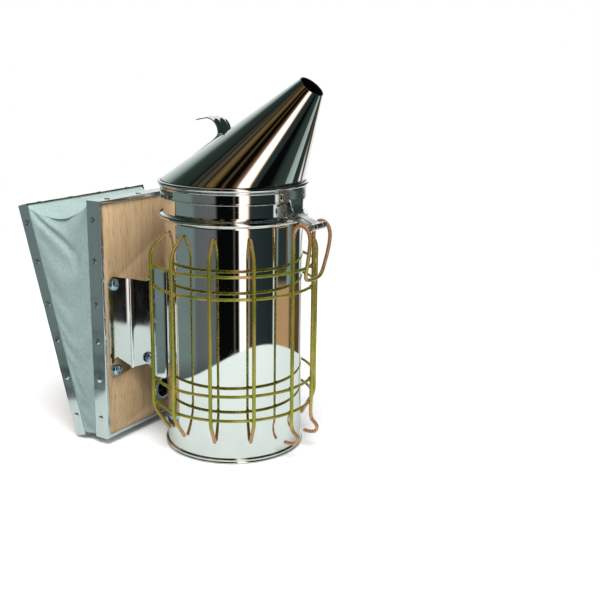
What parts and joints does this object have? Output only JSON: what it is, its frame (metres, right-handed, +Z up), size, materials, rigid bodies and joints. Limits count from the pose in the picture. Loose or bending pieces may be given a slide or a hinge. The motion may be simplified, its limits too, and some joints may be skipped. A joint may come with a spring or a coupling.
{
  "type": "bee smoker",
  "caption": "Bee smoker with a round steel fire chamber, hinged slanted spout lid, wire guard with hanging hook, inner fire grate and wooden hand bellows.",
  "frame": {"origin": "on the fire chamber's axis, on the flat underside it stands on", "axes": "+Z up along the fire chamber's axis; +X towards the lid hinge and the hanging hook, -X towards the bellows; mirror plane y = 0"},
  "size_m": [0.2264, 0.1346, 0.2729],
  "materials": {
    "polished_stainless": "mirror polished stainless sheet with faint rolling marks",
    "yellow_zinc_wire": "yellow passivated zinc on round steel wire, olive to copper tints",
    "blue_zinc": "bright blue passivated zinc fasteners",
    "tin_edging": "thin bright folded metal edging, lightly dented",
    "veneer_plywood": "unvarnished reddish veneer, grain along the board",
    "coated_cloth": "matt pale mint-grey coated cloth with fine grain",
    "spring_steel": "oiled dark spring steel"
  },
  "bodies": {
    "chamber": {"chamber_barrel": "polished_stainless", "chamber_base": "polished_stainless", "air_inlet_tube": "polished_stainless", "bellows_bracket_near": "polished_stainless", "bellows_bracket_far": "polished_stainless", "hinge_bracket": "polished_stainless", "hinge_pin": "polished_stainless", "guard_ring_1": "yellow_zinc_wire", "guard_ring_2": "yellow_zinc_wire", "guard_ring_3": "yellow_zinc_wire", "guard_ring_4": "yellow_zinc_wire", "guard_upright_1": "yellow_zinc_wire", "guard_upright_2": "yellow_zinc_wire", "guard_upright_3": "yellow_zinc_wire", "guard_upright_4": "yellow_zinc_wire", "guard_upright_5": "yellow_zinc_wire", "guard_upright_6": "yellow_zinc_wire", "guard_upright_7": "yellow_zinc_wire", "guard_upright_8": "yellow_zinc_wire", "hanging_hook": "yellow_zinc_wire", "bracket_bolt_1": "blue_zinc", "bracket_bolt_2": "blue_zinc", "bracket_bolt_3": "blue_zinc", "bracket_bolt_4": "blue_zinc", "bracket_nut_1": "blue_zinc", "bracket_nut_2": "blue_zinc", "bracket_nut_3": "blue_zinc", "bracket_nut_4": "blue_zinc", "inner_board": "veneer_plywood", "inner_edging": "tin_edging", "air_eyelet": "tin_edging", "bellows_skirt": "coated_cloth", "bellows_spring": "spring_steel"},
    "lid": {"spout_cone": "polished_stainless", "lid_skirt": "polished_stainless", "thumb_lever": "polished_stainless", "lid_hinge_strap": "polished_stainless"},
    "outer_bellows": {"outer_board": "veneer_plywood", "outer_edging": "tin_edging"},
    "grate": {"fire_grate": "polished_stainless"}
  },
  "joints": [
    {"name": "lid_hinge", "type": "hinge", "parent": "chamber", "child": "lid", "pos_m": [0.0705, 0, 0.1723], "axis": [0, 1, 0], "range_deg": [0, 110]},
    {"name": "bellows_squeeze", "type": "hinge", "parent": "chamber", "child": "outer_bellows", "pos_m": [-0.0865, 0, 0.004], "axis": [0, 1, 0], "range_deg": [0, 12], "stiffness_Nm_per_rad": 6, "springref_deg": -8.59, "deforming": ["bellows_skirt", "bellows_spring"]},
    {"name": "grate_lift", "type": "slide", "parent": "chamber", "child": "grate", "axis": [0, 0, 1], "range_m": [0, 0.15]}
  ]
}
